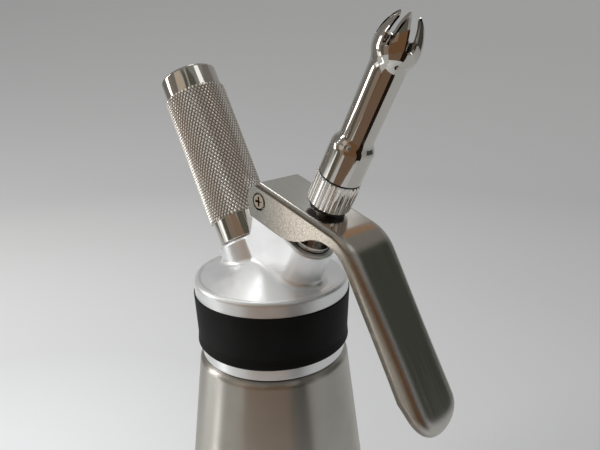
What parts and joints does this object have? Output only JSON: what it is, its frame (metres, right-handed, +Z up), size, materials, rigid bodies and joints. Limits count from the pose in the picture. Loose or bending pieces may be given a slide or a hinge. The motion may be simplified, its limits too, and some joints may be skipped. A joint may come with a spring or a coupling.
{
  "type": "whipped cream dispenser",
  "caption": "Hand-held whipped cream dispenser: cone-necked steel bottle, cast head with a gas charger holder, squeeze lever, spring valve and tulip nozzle.",
  "frame": {"origin": "middle of the bottle's flat base, on the surface that it stands on", "axes": "+Z up along the bottle, +X towards the lever and the nozzle, -X towards the charger holder"},
  "size_m": [0.1441, 0.082, 0.2708],
  "materials": {
    "bottle_steel": "brushed stainless steel, soft sheen",
    "cast_aluminium": "satin cast aluminium with a fine grain",
    "silicone": "matte black silicone",
    "black_rubber": "matte black rubber",
    "lever_steel": "polished stainless sheet, grained on its sides",
    "holder_steel": "bright knurled stainless steel",
    "nozzle_steel": "mirror-bright stainless steel",
    "adapter_steel": "bright turned and knurled stainless steel",
    "valve_steel": "turned stainless steel",
    "bush_plastic": "off-white bearing plastic",
    "spring_steel": "spring wire",
    "charger_steel": "zinc-plated steel"
  },
  "bodies": {
    "bottle": {"bottle": "bottle_steel"},
    "gasket": {"head_gasket": "silicone"},
    "head": {"head_casting": "cast_aluminium", "grip_band": "silicone", "pin_carrier": "valve_steel", "piercing_pin": "valve_steel", "charger_gasket": "black_rubber", "inlet_check_valve": "black_rubber", "valve_guide_bush": "bush_plastic", "stem_o_ring": "black_rubber", "return_spring": "spring_steel", "pivot_screw": "valve_steel", "pivot_nut": "valve_steel"},
    "charger": {"gas_charger": "charger_steel", "charger_cap": "charger_steel"},
    "holder": {"charger_holder": "holder_steel"},
    "lever": {"lever": "lever_steel"},
    "valve": {"valve_stem": "valve_steel", "valve_seal": "black_rubber", "valve_collar": "valve_steel"},
    "washer": {"adapter_washer": "black_rubber"},
    "adapter": {"tip_adapter": "adapter_steel", "adapter_seal": "black_rubber"},
    "nozzle_ring": {"nozzle_o_ring": "black_rubber"},
    "nozzle": {"tulip_nozzle": "nozzle_steel"}
  },
  "joints": [
    {"name": "head_rise", "type": "slide", "parent": "bottle", "child": "gasket", "axis": [0, 0, 1], "range_m": [0, 0.022]},
    {"name": "head_turn", "type": "hinge", "parent": "gasket", "child": "head", "pos_m": [0, 0, 0.163], "axis": [0, 0, 1], "range_deg": [0, 1980.5]},
    {"name": "charger_rise", "type": "slide", "parent": "head", "child": "charger", "axis": [-0.4909, 0, 0.8712], "range_m": [0, 0.009]},
    {"name": "holder_turn", "type": "hinge", "parent": "charger", "child": "holder", "pos_m": [-0.03199, 0, 0.21721], "axis": [-0.4909, 0, 0.8712], "range_deg": [0, 2160.5]},
    {"name": "lever_squeeze", "type": "hinge", "parent": "head", "child": "lever", "pos_m": [0.0065, 0, 0.2067], "axis": [0, 1, 0], "range_deg": [0, 10], "stiffness_Nm_per_rad": 0.8, "springref_deg": -22.92},
    {"name": "valve_press", "type": "slide", "parent": "head", "child": "valve", "axis": [-0.4664, 0, -0.8846], "range_m": [0, 0.0028], "deforming": ["return_spring"]},
    {"name": "adapter_rise", "type": "slide", "parent": "valve", "child": "washer", "axis": [0.4664, 0, 0.8846], "range_m": [0, 0.006]},
    {"name": "adapter_turn", "type": "hinge", "parent": "washer", "child": "adapter", "pos_m": [0.03445, 0, 0.21338], "axis": [0.4664, 0, 0.8846], "range_deg": [0, 2160.5]},
    {"name": "nozzle_rise", "type": "slide", "parent": "adapter", "child": "nozzle_ring", "axis": [0.4664, 0, 0.8846], "range_m": [0, 0.007]},
    {"name": "nozzle_turn", "type": "hinge", "parent": "nozzle_ring", "child": "nozzle", "pos_m": [0.04845, 0, 0.23992], "axis": [0.4664, 0, 0.8846], "range_deg": [0, 2016.5]}
  ],
  "couplings": [
    {"joint": "head_turn", "follows": "head_rise", "rad_per_m": 1570.8},
    {"joint": "holder_turn", "follows": "charger_rise", "rad_per_m": 4188.8},
    {"joint": "valve_press", "follows": "lever_squeeze", "m_per_rad": 0.016},
    {"joint": "adapter_turn", "follows": "adapter_rise", "rad_per_m": 6283.2},
    {"joint": "nozzle_turn", "follows": "nozzle_rise", "rad_per_m": 5026.5}
  ]
}
